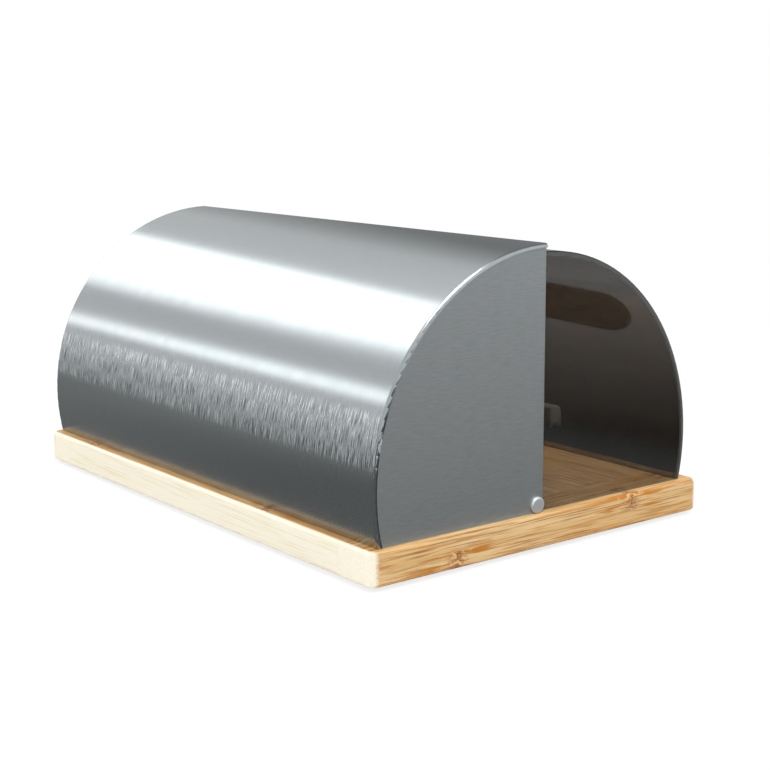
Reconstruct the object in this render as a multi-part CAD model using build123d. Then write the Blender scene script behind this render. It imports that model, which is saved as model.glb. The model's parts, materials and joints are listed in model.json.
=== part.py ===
"""Bread box with a roll top: a steel half barrel on a bamboo board, closed by a smoked lid.

Millimetres. X runs along the box, the lid opens towards -Y, Z is up. The origin lies under the middle of the
whole object, on the surface that the feet stand on. Shell, end panels and lid share one axis along X.
"""
import os
from math import acos, atan2, cos, degrees, hypot, radians, sin, sqrt

from build123d import *

# Steel body
BODY_LENGTH = 368.0
SHELL_RADIUS = 125.0
SHEET = 0.8
AXIS_RISE = 29.5
SHELL_ROLL = 2.0
SHELL_LIP = 0.5
PANEL_SETBACK = 1.7
PANEL_EDGE_LAND = 0.2
PANEL_FLANGE = 12.0
FOOT_FLANGE_START = 14.0
FOOT_FLANGE_LENGTH = 92.0
REAR_FLANGE = 12.0
REAR_FLANGE_INSET = 15.0

# Bamboo board
BOARD_THICKNESS = 20.0
BOARD_END_OVERHANG = 3.0
BOARD_REAR_OVERHANG = 3.5
BOARD_FRONT_OVERHANG = 8.5
BOARD_CORNER = 6.0
BOARD_EDGE = 2.5
END_CAP_WIDTH = 30.0
TONGUE_THICKNESS = 6.0
TONGUE_DEPTH = 10.0
TONGUE_INSET = 20.0

# Rubber feet
FOOT_DIAMETER = 14.0
FOOT_PROUD = 2.0
FOOT_RECESS = 2.0
FOOT_INSET_X = 45.0
FOOT_INSET_Y = 30.0
FOOT_CHAMFER = 0.8

# Smoked lid
LID_CLEARANCE = 4.2
LID_WALL = 2.5
LID_TOP_ANGLE = 82.0
LID_TRAVEL = 90.0
LID_LIFT = 0.4
LID_EDGE_CHAMFER = 0.5
SLOT_END_ANGLE = 2.0
GLIDE_ARC = 6.0

# Guide rivets and their washers
RIVET_SETBACK = 4.7
RIVET_RISE = 4.8
RIVET_HEAD_DIAMETER = 9.6
RIVET_HEAD_HEIGHT = 1.6
RIVET_HEAD_LAND = 0.4
RIVET_SHANK = 3.2
RIVET_TAIL_DIAMETER = 5.0
RIVET_TAIL_HEIGHT = 1.2
SPACER_DIAMETER = 8.0
SPACER_THICKNESS = 0.6
RETAINER_DIAMETER = 8.8
RETAINER_THICKNESS = 1.0

# Handle
HANDLE_LENGTH = 129.0
HANDLE_DEPTH = 10.0
HANDLE_HEIGHT = 15.0
HANDLE_DROP = 2.5
HANDLE_OUTER_ROUNDING = 4.5
HANDLE_INNER_ROUNDING = 2.5
HANDLE_FOOT_ROUNDING = 1.5
HANDLE_END_ROUNDING = 1.0
FINGER_GROOVE_RADIUS = 4.0
FINGER_GROOVE_DEPTH = 2.0

# Screws
SCREW_SHANK = 3.0
SCREW_LENGTH = 12.0
SCREW_HEAD_DIAMETER = 6.0
SCREW_HEAD_HEIGHT = 1.8
PANEL_SCREW_MARGIN = 20.0
SHELL_SCREW_MARGIN = 24.0
SHELL_SCREW_COUNT = 3
HANDLE_SCREW_MARGIN = 19.5
HANDLE_SCREW_LENGTH = 9.0
WASHER_DIAMETER = 7.0
WASHER_THICKNESS = 0.8

# Clearances
SEAT_GAP = 0.05
HOLE_GAP = 0.2
RUN_GAP = 0.3

# Places that follow from the sizes above
SHELL_INNER = SHELL_RADIUS - SHEET
PANEL_RIM = SHELL_INNER - SEAT_GAP
PANEL_BEND = SHELL_ROLL - SHEET - SEAT_GAP
PANEL_FACE = BODY_LENGTH / 2 - SHEET - SEAT_GAP
LID_RADIUS = SHELL_INNER - LID_CLEARANCE
BOARD_TOP = FOOT_PROUD + BOARD_THICKNESS
BOARD_LENGTH = BODY_LENGTH + 2 * BOARD_END_OVERHANG
BOARD_WIDTH = BOARD_REAR_OVERHANG + SHELL_RADIUS + LID_RADIUS + BOARD_FRONT_OVERHANG
AXIS_Z = BOARD_TOP + AXIS_RISE
AXIS_Y = (LID_RADIUS + HANDLE_DEPTH - SHELL_RADIUS - BOARD_REAR_OVERHANG) / 2
BOARD_Y = AXIS_Y + SHELL_RADIUS + BOARD_REAR_OVERHANG - BOARD_WIDTH / 2
PANEL_INNER_X = PANEL_FACE - SHEET
LID_HALF = PANEL_INNER_X - SPACER_THICKNESS - RUN_GAP
LID_INNER = LID_RADIUS - LID_WALL
LID_END_RADIUS = LID_INNER - SEAT_GAP
LID_BOTTOM = LID_LIFT - AXIS_RISE
HUB_RADIUS = AXIS_RISE - LID_LIFT
RETAINER_X = LID_HALF - LID_WALL - RUN_GAP
RIVET_Y = PANEL_SETBACK + RIVET_SETBACK
RIVET_Z = RIVET_RISE - AXIS_RISE
RIVET_ORBIT = hypot(RIVET_Y, RIVET_Z)
RIVET_ANGLE = degrees(atan2(RIVET_Z, RIVET_Y))
SLOT_WIDTH = RIVET_SHANK + 2 * RUN_GAP
HANDLE_MIDDLE = -HANDLE_DROP - HANDLE_HEIGHT / 2
HANDLE_ANGLE = 180.0 - degrees(atan2(HANDLE_MIDDLE, sqrt(LID_RADIUS**2 - HANDLE_MIDDLE**2)))
FAR = 2 * SHELL_RADIUS + BOARD_WIDTH

BARREL_AXIS = Axis((0, AXIS_Y, AXIS_Z), (1, 0, 0))


def section(x: float) -> Plane:
    """Cross-section plane at x, with its own axes along Y and Z from the barrel's axis."""
    return Plane(origin=(x, AXIS_Y, AXIS_Z), x_dir=(0, 1, 0), z_dir=(1, 0, 0))


def prism(sketch: Sketch, low: float, high: float) -> Part:
    """Extrudes a cross-section from x = low to x = high."""
    return extrude(section(low) * sketch, high - low)


def rod(diameter: float, low: float, high: float) -> Part:
    """Round bar along X on the left rivet's axis."""
    return Pos(0, RIVET_Y, RIVET_Z) * prism(Circle(diameter / 2), low, high)


def ring(outer: float, inner: float) -> Sketch:
    """Flat ring about the barrel's axis."""
    return Circle(outer) - Circle(inner)


def window(left: float, right: float, low: float, high: float) -> Sketch:
    """Rectangle of a cross-section, given by its four sides."""
    return Pos((left + right) / 2, (low + high) / 2) * Rectangle(right - left, high - low)


def polar(radius: float, angle: float) -> tuple[float, float]:
    """Point of a cross-section at an angle from the rear, counted over the top."""
    return (radius * cos(radians(angle)), radius * sin(radians(angle)))


def down_screws(places: list[tuple[float, float]], grow: float = 0.0) -> list[Part]:
    """Shanks that stand in the board below the steel flanges, one at each place."""
    top = BOARD_TOP + SHEET
    length = SCREW_LENGTH + grow
    shank = Cylinder(SCREW_SHANK / 2 + grow, length, align=(Align.CENTER, Align.CENTER, Align.MAX))
    return [Pos(x, y, top) * shank for x, y in places]


def panel_screw_places() -> list[tuple[float, float]]:
    """Two screws through the foot flange of each end panel."""
    x = PANEL_INNER_X - (PANEL_FLANGE - SHEET) / 2
    first = AXIS_Y + PANEL_SETBACK + FOOT_FLANGE_START + PANEL_SCREW_MARGIN
    last = first + FOOT_FLANGE_LENGTH - 2 * PANEL_SCREW_MARGIN
    return [(side * x, y) for side in (-1, 1) for y in (first, last)]


def rear_flange_edge() -> float:
    """Distance from the axis to the line where the shell meets the board, halfway through its sheet."""
    return sqrt((SHELL_RADIUS - SHEET / 2) ** 2 - AXIS_RISE**2)


def shell_screw_places() -> list[tuple[float, float]]:
    """A row of screws through the rear flange of the shell."""
    reach = BODY_LENGTH / 2 - REAR_FLANGE_INSET - SHELL_SCREW_MARGIN
    step = 2 * reach / (SHELL_SCREW_COUNT - 1)
    y = AXIS_Y + rear_flange_edge() - REAR_FLANGE / 2 - SHEET
    return [(step * i - reach, y) for i in range(SHELL_SCREW_COUNT)]


def foot_places() -> dict[str, tuple[float, float]]:
    """Middle of each rubber foot, by its name."""
    x = BOARD_LENGTH / 2 - FOOT_INSET_X
    y = BOARD_WIDTH / 2 - FOOT_INSET_Y
    rows = {"front": BOARD_Y - y, "rear": BOARD_Y + y}
    columns = {"left": -x, "right": x}
    return {f"foot_{row}_{column}": (columns[column], rows[row]) for row in rows for column in columns}


def whole_board() -> Part:
    """The board in one piece, with rounded corners and softened edges."""
    base = Pos(0, BOARD_Y) * RectangleRounded(BOARD_LENGTH, BOARD_WIDTH, BOARD_CORNER)
    board = Pos(0, 0, FOOT_PROUD) * extrude(base, BOARD_THICKNESS)
    rims = board.faces().filter_by(Axis.Z).edges()
    return fillet(rims, BOARD_EDGE)


def drilled(piece: Part) -> Part:
    """A piece of the board with its screw holes and the recesses for the feet."""
    on_floor = (Align.CENTER, Align.CENTER, Align.MIN)
    recess = Cylinder(FOOT_DIAMETER / 2 + SEAT_GAP, FOOT_RECESS, align=on_floor)
    for hole in down_screws(panel_screw_places() + shell_screw_places(), SEAT_GAP):
        piece -= hole
    for x, y in foot_places().values():
        piece -= Pos(x, y, FOOT_PROUD) * recess
    return piece


def tongue(grow: float) -> Part:
    """Bar that keys the left end cap to the board, made larger by grow for the groove it fits."""
    length = BOARD_WIDTH - 2 * TONGUE_INSET + 2 * grow
    bar = Box(2 * (TONGUE_DEPTH + grow), length, TONGUE_THICKNESS + 2 * grow)
    return Pos(END_CAP_WIDTH - BOARD_LENGTH / 2, BOARD_Y, FOOT_PROUD + BOARD_THICKNESS / 2) * bar


def board_pieces() -> dict[str, Part]:
    """Board panel with the grain along X and two end caps across it, joined by tongues and grooves."""
    board = whole_board()
    joint_x = END_CAP_WIDTH - BOARD_LENGTH / 2
    cap_side = Pos(joint_x - FAR / 2 - SEAT_GAP, BOARD_Y, AXIS_Z) * Box(FAR, FAR, FAR)
    middle = Pos(0, BOARD_Y, AXIS_Z) * Box(-2 * joint_x, FAR, FAR)
    cap_left = (board & cap_side) - tongue(SEAT_GAP)
    cap_right = (board & mirror(cap_side, Plane.YZ)) - mirror(tongue(SEAT_GAP), Plane.YZ)
    panel = (board & middle) + tongue(0.0) + mirror(tongue(0.0), Plane.YZ)
    found = {"board_panel": panel, "board_end_cap_left": cap_left, "board_end_cap_right": cap_right}
    return {name: drilled(piece) for name, piece in found.items()}


def foot() -> Part:
    """Round rubber foot that sits in its recess, with its rim cut back on the floor side."""
    on_floor = (Align.CENTER, Align.CENTER, Align.MIN)
    disc = Cylinder(FOOT_DIAMETER / 2, FOOT_PROUD + FOOT_RECESS, align=on_floor)
    return chamfer(disc.edges().group_by(Axis.Z)[0], FOOT_CHAMFER)


def bent_sheet(face: float, low: float, rim: float, bend: float, reach: float) -> Part:
    """Turned sheet: flat from radius low out to a rounded bend, then along the barrel at radius rim.

    The flat lies at x = -face, the bend is measured on its outer side, and reach counts from the flat.
    """
    outline = [
        Line((0, low), (0, rim - bend)),
        CenterArc((bend, rim - bend), bend, 90, 90),
        Line((bend, rim), (reach, rim)),
        Line((reach, rim), (reach, rim - SHEET)),
        Line((reach, rim - SHEET), (bend, rim - SHEET)),
        CenterArc((bend, rim - bend), bend - SHEET, 90, 90),
        Line((SHEET, rim - bend), (SHEET, low)),
        Line((SHEET, low), (0, low)),
    ]
    half_section = Plane(origin=(-face, AXIS_Y, AXIS_Z), x_dir=(1, 0, 0), z_dir=(0, -1, 0))
    turned = revolve(half_section * make_face(outline), BARREL_AXIS)
    return turned & prism(window(PANEL_SETBACK, FAR, -AXIS_RISE, FAR), -FAR, FAR)


def rear_shell() -> Part:
    """Curved steel sheet from the top edge to the board: its ends are rolled in, its foot has a flange."""
    half = BODY_LENGTH / 2
    left = bent_sheet(half, SHELL_RADIUS - SHELL_ROLL - SHELL_LIP, SHELL_RADIUS, SHELL_ROLL, half)
    edge = rear_flange_edge()
    turned_in = window(edge - REAR_FLANGE, edge, -AXIS_RISE, SHEET - AXIS_RISE)
    reach = half - REAR_FLANGE_INSET
    shell = left + mirror(left, Plane.YZ) + prism(turned_in, -reach, reach)
    for hole in down_screws(shell_screw_places(), HOLE_GAP):
        shell -= hole
    return shell


def end_panel() -> Part:
    """Left end panel: a flat sheet behind the shell's rolled end, with a bent rim and a foot flange."""
    panel = bent_sheet(PANEL_FACE, 0.0, PANEL_RIM, PANEL_BEND, PANEL_FLANGE)
    front_edge = panel.faces().sort_by(Axis.X)[0].edges().sort_by(Axis.Y)[0]
    panel = fillet(front_edge, SHEET - PANEL_EDGE_LAND)
    start = PANEL_SETBACK + FOOT_FLANGE_START
    foot_flange = window(start, start + FOOT_FLANGE_LENGTH, -AXIS_RISE, SHEET - AXIS_RISE)
    panel += prism(foot_flange, -PANEL_FACE, PANEL_FLANGE - PANEL_FACE)
    panel -= rod(RIVET_SHANK + 2 * HOLE_GAP, -FAR, FAR)
    for hole in down_screws(panel_screw_places(), HOLE_GAP):
        panel -= hole
    return panel


def guide_rivet() -> Part:
    """Left guide rivet: broad head outside, shank through the lid's slot, clinched tail inside."""
    face = -PANEL_FACE
    head = rod(RIVET_HEAD_DIAMETER, face - RIVET_HEAD_HEIGHT, face)
    head = fillet(head.edges().group_by(Axis.X)[0], RIVET_HEAD_HEIGHT - RIVET_HEAD_LAND)
    tail_start = RETAINER_THICKNESS - RETAINER_X
    tail = rod(RIVET_TAIL_DIAMETER, tail_start, tail_start + RIVET_TAIL_HEIGHT)
    return head + rod(RIVET_SHANK, face, tail_start) + tail


def rivet_washer(diameter: float, low: float, thickness: float) -> Part:
    """Flat washer on the left rivet's shank."""
    hole = rod(RIVET_SHANK + 2 * SEAT_GAP, -FAR, FAR)
    return rod(diameter, low, low + thickness) - hole


def lid_side(angle: float) -> Sketch:
    """Half plane in front of a line from the axis at an angle, down to the lid's lower edge."""
    corners = [(0, 0), polar(FAR, angle), (-FAR, FAR), (-FAR, LID_BOTTOM), (0, LID_BOTTOM)]
    return make_face(Polyline(*corners, close=True))


def lid_sheet() -> Part:
    """Bent acrylic sheet of the lid, drilled for the handle's screws."""
    sheet = prism(ring(LID_RADIUS, LID_INNER) & lid_side(LID_TOP_ANGLE), -LID_HALF, LID_HALF)
    rounds = sheet.edges().filter_by(GeomType.CIRCLE)
    outer = [edge for edge in rounds if edge.radius > LID_RADIUS - LID_WALL / 2]
    sheet = chamfer(outer, LID_EDGE_CHAMFER)
    for hole in handle_rods(SCREW_SHANK + 2 * HOLE_GAP, LID_INNER - LID_WALL, LID_RADIUS + LID_WALL):
        sheet -= hole
    return sheet


def lid_end() -> Part:
    """Left end plate of the lid: a quarter disc with a round hub, slotted for the guide rivet."""
    top = polar(LID_END_RADIUS, LID_TOP_ANGLE)
    touch = polar(HUB_RADIUS, LID_TOP_ANGLE - degrees(acos(HUB_RADIUS / LID_END_RADIUS)))
    beyond = (2 * top[0] - touch[0], 2 * top[1] - touch[1])
    front = make_face(Polyline((0, LID_BOTTOM), touch, beyond, (-FAR, FAR), (-FAR, LID_BOTTOM), close=True))
    slot_path = CenterArc((0, 0), RIVET_ORBIT, RIVET_ANGLE - SLOT_END_ANGLE, LID_TRAVEL + 2 * SLOT_END_ANGLE)
    plate = (Circle(LID_END_RADIUS) & front) + Circle(HUB_RADIUS) - SlotArc(slot_path, SLOT_WIDTH)
    return prism(plate, -LID_HALF, LID_WALL - LID_HALF)


def glide_strip() -> Part:
    """Felt strip on the lid's upper edge that runs along the inside of the shell."""
    arc = ring(SHELL_INNER - RUN_GAP, LID_RADIUS + SEAT_GAP)
    span = lid_side(LID_TOP_ANGLE) - lid_side(LID_TOP_ANGLE + GLIDE_ARC)
    reach = BODY_LENGTH / 2 - REAR_FLANGE_INSET
    return prism(arc & span, -reach, reach)


def handle_rods(diameter: float, low: float, high: float) -> list[Part]:
    """Bars that point out of the lid at the handle's two screws, between two radii."""
    bar = Cylinder(diameter / 2, high - low, align=(Align.CENTER, Align.CENTER, Align.MIN))
    outwards = Rot(X=HANDLE_ANGLE - 90) * Pos(0, 0, low) * bar
    x = HANDLE_LENGTH / 2 - HANDLE_SCREW_MARGIN
    return [Pos(side * x, AXIS_Y, AXIS_Z) * outwards for side in (-1, 1)]


def nearest(sketch: Sketch, place: Vertex) -> Vertex:
    """Corner of a sketch that lies nearest to a place."""
    return sketch.vertices().sort_by_distance(place)[0]


def handle() -> Part:
    """Grip bar along the lid: its back fits the lid's curve, and its foot has a finger groove."""
    front = -LID_RADIUS - HANDLE_DEPTH
    low = -HANDLE_DROP - HANDLE_HEIGHT
    seat = LID_RADIUS + SEAT_GAP
    profile = window(front, 0, low, -HANDLE_DROP) - Circle(seat)
    outer = profile.vertices().sort_by(Axis.X)[:2].sort_by(Axis.Y)
    inner = profile.vertices().sort_by(Axis.X)[2:].sort_by(Axis.Y)
    profile = fillet([outer[1]], HANDLE_OUTER_ROUNDING)
    profile = fillet([nearest(profile, inner[1])], HANDLE_INNER_ROUNDING)
    profile = fillet([nearest(profile, outer[0])], HANDLE_FOOT_ROUNDING)
    groove_y = -LID_RADIUS - HANDLE_DEPTH / 2
    groove = Pos(groove_y, low + FINGER_GROOVE_DEPTH - FINGER_GROOVE_RADIUS) * Circle(FINGER_GROOVE_RADIUS)
    bar = prism(profile - groove, -HANDLE_LENGTH / 2, HANDLE_LENGTH / 2)
    bar = fillet(bar.faces().filter_by(Axis.X).edges(), HANDLE_END_ROUNDING)
    for hole in handle_rods(SCREW_SHANK + 2 * SEAT_GAP, LID_INNER, handle_screw_reach() + SEAT_GAP):
        bar -= hole
    return bar


def handle_washer_seat() -> float:
    """Radius at which a flat washer touches the hollow side of the lid with its rim."""
    return sqrt(LID_INNER**2 - (WASHER_DIAMETER / 2) ** 2) - SEAT_GAP


def handle_screw_reach() -> float:
    """Radius that the tips of the handle's screws reach."""
    return handle_washer_seat() - WASHER_THICKNESS + HANDLE_SCREW_LENGTH


def board_screws(places: list[tuple[float, float]]) -> Compound:
    """Pan-head screws that hold the steel flanges down on the board."""
    head = Cylinder(SCREW_HEAD_DIAMETER / 2, SCREW_HEAD_HEIGHT, align=(Align.CENTER, Align.CENTER, Align.MIN))
    head = chamfer(head.edges().group_by(Axis.Z)[-1], SCREW_HEAD_HEIGHT / 2)
    shanks = down_screws(places)
    heads = [Pos(x, y, BOARD_TOP + SHEET) * head for x, y in places]
    return Compound(children=[top + shank for top, shank in zip(heads, shanks)])


def handle_screws() -> Compound:
    """Screws from inside the lid into the handle."""
    seat = handle_washer_seat() - WASHER_THICKNESS
    heads = handle_rods(SCREW_HEAD_DIAMETER, seat - SCREW_HEAD_HEIGHT, seat)
    shanks = handle_rods(SCREW_SHANK, seat, handle_screw_reach())
    return Compound(children=[top + shank for top, shank in zip(heads, shanks)])


def handle_washers() -> Compound:
    """Washers between the screw heads and the lid."""
    seat = handle_washer_seat()
    discs = handle_rods(WASHER_DIAMETER, seat - WASHER_THICKNESS, seat)
    holes = handle_rods(SCREW_SHANK + 2 * SEAT_GAP, seat - 2 * WASHER_THICKNESS, seat + WASHER_THICKNESS)
    return Compound(children=[disc - hole for disc, hole in zip(discs, holes)])


def pieces() -> dict[str, Part | Compound]:
    """Every piece of the bread box by its name."""
    found: dict[str, Part | Compound] = dict(board_pieces())
    for name, (x, y) in foot_places().items():
        found[name] = Pos(x, y) * foot()
    found["rear_shell"] = rear_shell()
    found["panel_screws"] = board_screws(panel_screw_places())
    found["shell_screws"] = board_screws(shell_screw_places())
    found["lid_sheet"] = lid_sheet()
    found["lid_glide_strip"] = glide_strip()
    found["handle"] = handle()
    found["handle_screws"] = handle_screws()
    found["handle_washers"] = handle_washers()
    left_hand = {
        "end_panel": end_panel(),
        "guide_rivet": guide_rivet(),
        "spacer_washer": rivet_washer(SPACER_DIAMETER, -PANEL_INNER_X, SPACER_THICKNESS),
        "retaining_washer": rivet_washer(RETAINER_DIAMETER, -RETAINER_X, RETAINER_THICKNESS),
        "lid_end": lid_end(),
    }
    for name, shape in left_hand.items():
        found[f"{name}_left"] = shape
        found[f"{name}_right"] = mirror(shape, Plane.YZ)
    return found


os.makedirs("parts", exist_ok=True)
for piece_name, piece in pieces().items():
    export_step(piece, f"parts/{piece_name}.step")
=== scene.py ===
"""Bread box with a rolling lid: its finishes and the studio that it stands in.

The frame is in metres: +X along the box, the lid opens towards -Y, the steel shell faces +Y, +Z is up.
"""

import json
import logging
import math
from dataclasses import dataclass
from enum import Enum
from typing import Any, Iterator

import bpy
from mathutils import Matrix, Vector


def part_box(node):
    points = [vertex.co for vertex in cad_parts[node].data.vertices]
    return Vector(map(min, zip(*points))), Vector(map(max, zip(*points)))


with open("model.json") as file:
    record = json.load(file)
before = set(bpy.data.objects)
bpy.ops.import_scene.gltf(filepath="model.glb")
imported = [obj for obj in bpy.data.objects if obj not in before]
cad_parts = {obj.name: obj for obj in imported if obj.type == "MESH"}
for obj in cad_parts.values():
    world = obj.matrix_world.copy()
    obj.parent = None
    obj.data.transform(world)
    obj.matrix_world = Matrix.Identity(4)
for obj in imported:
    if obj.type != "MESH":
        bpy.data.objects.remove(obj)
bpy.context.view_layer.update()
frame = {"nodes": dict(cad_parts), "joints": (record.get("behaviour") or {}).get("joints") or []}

LOG = logging.getLogger("bread_box")
MM = 0.001
WHITE = (1.0, 1.0, 1.0, 1.0)

# Blender's noise lies between these values, apart from a few peaks.
NOISE_LOW = 0.3
NOISE_HIGH = 0.7
# A Mix node's sockets for colours. They go by number, because its sockets for plain numbers have the same
# names.
SHARE = 0
COLOUR_A = 6
COLOUR_B = 7
MIXED = 2

ALONG_BOX = Vector((1, 0, 0))
LID_AXIS = Vector(next(joint["pos_m"] for joint in frame["joints"] if joint["name"] == "lid_roll"))
SHELL_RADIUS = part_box("rear_shell")[1].y - LID_AXIS.y
BOARD_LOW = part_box("board_panel")[0].z
BOARD_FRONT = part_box("board_panel")[0].y

Point = tuple[float, float, float]
Range = tuple[float, float]
Tree = bpy.types.NodeTree
Socket = bpy.types.NodeSocket
Material = bpy.types.Material


class Direction(Enum):
    """The way that grain or brushing runs."""

    ALONG_X = "X"
    ALONG_Y = "Y"
    AROUND = "around X"


class Shown(Enum):
    """Where a card of the studio shows."""

    IN_GLOSS = "in reflections only"
    THROUGH_LID = "through see-through walls only"


def linear(colour: str) -> tuple[float, float, float, float]:
    """Turns an sRGB hex colour into the linear colour that a shader takes.

    Args:
        colour: The colour as "#RRGGBB".

    Returns:
        Linear red, green, blue and an alpha of 1.
    """
    shares = [int(colour[i:i + 2], 16) / 255 for i in (1, 3, 5)]
    red, green, blue = [s / 12.92 if s <= 0.04045 else ((s + 0.055) / 1.055) ** 2.4 for s in shares]
    return red, green, blue, 1.0


def add_node(tree: Tree, kind: str, inputs: dict[str | int, Any] | None = None,
             **settings: Any) -> bpy.types.Node:
    """Adds a shader node with its settings and what its sockets take.

    Args:
        tree: The node tree of a material or of the world.
        kind: Blender's name for the node type.
        inputs: A value, or the socket to link from, for each input by its name or number.
        **settings: The node's own attributes.

    Returns:
        The new node.
    """
    node = tree.nodes.new(kind)
    for name, value in settings.items():
        setattr(node, name, value)
    for socket, value in (inputs or {}).items():
        if isinstance(value, Socket):
            tree.links.new(value, node.inputs[socket])
        else:
            node.inputs[socket].default_value = value
    return node


def empty_material(name: str) -> tuple[Material, Tree]:
    """Makes a material with no nodes.

    Args:
        name: The material's name.

    Returns:
        The material and its node tree.
    """
    material = bpy.data.materials.new(name)
    material.use_nodes = True
    material.node_tree.nodes.clear()
    return material, material.node_tree


def stretched(tree: Tree, point: Socket, sizes_mm: Point) -> Socket:
    """Scales a point so that one step of a pattern has a real size along each axis.

    Args:
        tree: The node tree.
        point: The socket that gives the point in metres.
        sizes_mm: The pattern's size along x, y and z in millimetres.

    Returns:
        The socket with the scaled point.
    """
    scale = [1 / (size * MM) for size in sizes_mm]
    return add_node(tree, "ShaderNodeVectorMath", {0: point, 1: scale}, operation="MULTIPLY").outputs[0]


@dataclass(frozen=True)
class BrushedSteel:
    """Stainless steel sheet, belt brushed one way: lights draw out into bands across the brushing lines."""

    name: str
    run: Direction
    bright: str = "#B3B9BB"
    dull: str = "#A3AAAC"
    roughness: float = 0.25
    roughness_spread: float = 0.04
    anisotropy: float = 0.85
    # Real brushing lines are about 0.1 mm wide. They are drawn wider, because finer ones don't show.
    line_width_mm: float = 0.5
    line_length_mm: float = 11.0
    cloud_width_mm: float = 9.0
    cloud_length_mm: float = 140.0
    # A line leans a little along its run. Where the belt bit deeper it leans more, and glints as a streak.
    lean: float = 0.002
    deep_lean: float = 0.002
    deep_middle_mm: float = 27.0
    deep_half_mm: float = 8.0
    deep_fade_mm: float = 12.0
    # The noise values at which a line leans fully back or fully forward.
    lean_limits: Range = (0.36, 0.64)

    def sheet(self, tree: Tree) -> tuple[Socket, Socket]:
        """Lays the sheet out flat.

        Args:
            tree: The material's node tree.

        Returns:
            The socket with the point, x across the brushing lines and y along them, and the one with the
            direction that the lines run in.
        """
        place = add_node(tree, "ShaderNodeTexCoord").outputs["Object"]
        if self.run is Direction.ALONG_Y:
            part = add_node(tree, "ShaderNodeSeparateXYZ", {0: place}).outputs
            point = add_node(tree, "ShaderNodeCombineXYZ", {"X": part["Z"], "Y": part["Y"]}).outputs[0]
            return point, add_node(tree, "ShaderNodeCombineXYZ", {"Y": 1.0}).outputs[0]
        radius = add_node(tree, "ShaderNodeVectorMath", {
            0: place, 1: LID_AXIS}, operation="SUBTRACT").outputs[0]
        part = add_node(tree, "ShaderNodeSeparateXYZ", {0: radius}).outputs
        angle = add_node(tree, "ShaderNodeMath", {0: part["Z"], 1: part["Y"]}, operation="ARCTAN2").outputs[0]
        arc = add_node(tree, "ShaderNodeMath", {0: angle, 1: SHELL_RADIUS}, operation="MULTIPLY").outputs[0]
        point = add_node(tree, "ShaderNodeCombineXYZ", {"X": part["X"], "Y": arc}).outputs[0]
        turn = add_node(tree, "ShaderNodeVectorMath", {
            0: ALONG_BOX, 1: radius}, operation="CROSS_PRODUCT").outputs[0]
        return point, add_node(tree, "ShaderNodeVectorMath", {0: turn}, operation="NORMALIZE").outputs[0]

    def leant_normal(self, tree: Tree, point: Socket, run: Socket, lines: Socket) -> Socket:
        """Leans the surface along each brushing line, most where the belt bit deepest.

        Args:
            tree: The material's node tree.
            point: The socket with the point on the flat sheet.
            run: The socket with the direction that the lines run in.
            lines: The socket with the noise that draws the lines.

        Returns:
            The socket with the leant normal.
        """
        along = add_node(tree, "ShaderNodeSeparateXYZ", {0: point}).outputs["Y"]
        past = add_node(tree, "ShaderNodeMath", {
            0: along, 1: self.deep_middle_mm * MM}, operation="SUBTRACT").outputs[0]
        away = add_node(tree, "ShaderNodeMath", {0: past}, operation="ABSOLUTE").outputs[0]
        reach = add_node(tree, "ShaderNodeMapRange", {
            "Value": away, "From Min": self.deep_half_mm * MM,
            "From Max": (self.deep_half_mm + self.deep_fade_mm) * MM,
            "To Min": self.deep_lean, "To Max": self.lean}, interpolation_type="SMOOTHSTEP").outputs[0]
        side = add_node(tree, "ShaderNodeMapRange", {
            "Value": lines, "From Min": self.lean_limits[0], "From Max": self.lean_limits[1],
            "To Min": -1.0, "To Max": 1.0}).outputs[0]
        swing = add_node(tree, "ShaderNodeMath", {0: side, 1: reach}, operation="MULTIPLY").outputs[0]
        normal = add_node(tree, "ShaderNodeNewGeometry").outputs["Normal"]
        tilt = add_node(tree, "ShaderNodeVectorMath", {0: run, "Scale": swing}, operation="SCALE").outputs[0]
        leant = add_node(tree, "ShaderNodeVectorMath", {0: normal, 1: tilt}, operation="ADD").outputs[0]
        return add_node(tree, "ShaderNodeVectorMath", {0: leant}, operation="NORMALIZE").outputs[0]

    def material(self) -> Material:
        """Builds the steel.

        Returns:
            The material.
        """
        material, tree = empty_material(self.name)
        point, run = self.sheet(tree)
        lines = add_node(tree, "ShaderNodeTexNoise", {
            "Vector": stretched(tree, point, (self.line_width_mm, self.line_length_mm, 1)),
            "Scale": 1.0, "Detail": 4.0, "Roughness": 0.65}, noise_dimensions="2D").outputs["Fac"]
        clouds = add_node(tree, "ShaderNodeTexNoise", {
            "Vector": stretched(tree, point, (self.cloud_width_mm, self.cloud_length_mm, 1)),
            "Scale": 1.0, "Detail": 2.0}, noise_dimensions="2D").outputs["Fac"]
        colour = add_node(tree, "ShaderNodeMix", {
            SHARE: lines, COLOUR_A: linear(self.dull), COLOUR_B: linear(self.bright)},
            data_type="RGBA").outputs[MIXED]
        both = add_node(tree, "ShaderNodeMath", {0: lines, 1: clouds}, operation="ADD").outputs[0]
        roughness = add_node(tree, "ShaderNodeMapRange", {
            "Value": both, "From Min": 2 * NOISE_LOW, "From Max": 2 * NOISE_HIGH,
            "To Min": self.roughness - self.roughness_spread / 2,
            "To Max": self.roughness + self.roughness_spread / 2}).outputs[0]
        normal = add_node(tree, "ShaderNodeNewGeometry").outputs["Normal"]
        across = add_node(tree, "ShaderNodeVectorMath", {
            0: run, 1: normal}, operation="CROSS_PRODUCT").outputs[0]
        shader = add_node(tree, "ShaderNodeBsdfPrincipled", {
            "Base Color": colour, "Metallic": 1.0, "Roughness": roughness,
            "Normal": self.leant_normal(tree, point, run, lines),
            "Anisotropic": self.anisotropy, "Tangent": across})
        add_node(tree, "ShaderNodeOutputMaterial", {"Surface": shader.outputs[0]})
        return material


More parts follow.
